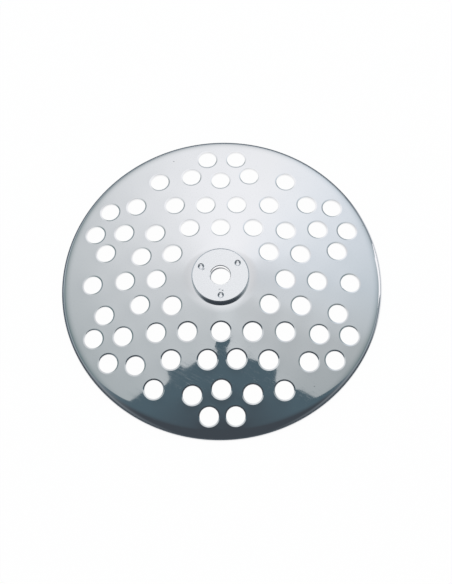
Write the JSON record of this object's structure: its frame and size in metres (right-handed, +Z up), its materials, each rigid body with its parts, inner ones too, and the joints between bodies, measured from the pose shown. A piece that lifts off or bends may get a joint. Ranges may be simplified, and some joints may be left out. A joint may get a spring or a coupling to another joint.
{
  "type": "food mill sieve disc",
  "caption": "Shallow dished sieve disc of a hand-cranked food mill: polished punched steel sheet, turned-down rim, and a welded hub with a spindle bore.",
  "frame": {"origin": "centre of the rim's lower edge, on the spindle axis", "axes": "+Z up along the spindle axis, from the rim's edge towards the hub's face; -Y through the middle of one of the six equal sectors of holes"},
  "size_m": [0.138, 0.138, 0.0142],
  "materials": {
    "polished_steel": "mirror-polished stainless steel sheet",
    "satin_steel": "satin-turned stainless steel"
  },
  "bodies": {
    "root": {"sieve_plate": "polished_steel", "hub": "satin_steel"}
  },
  "joints": []
}
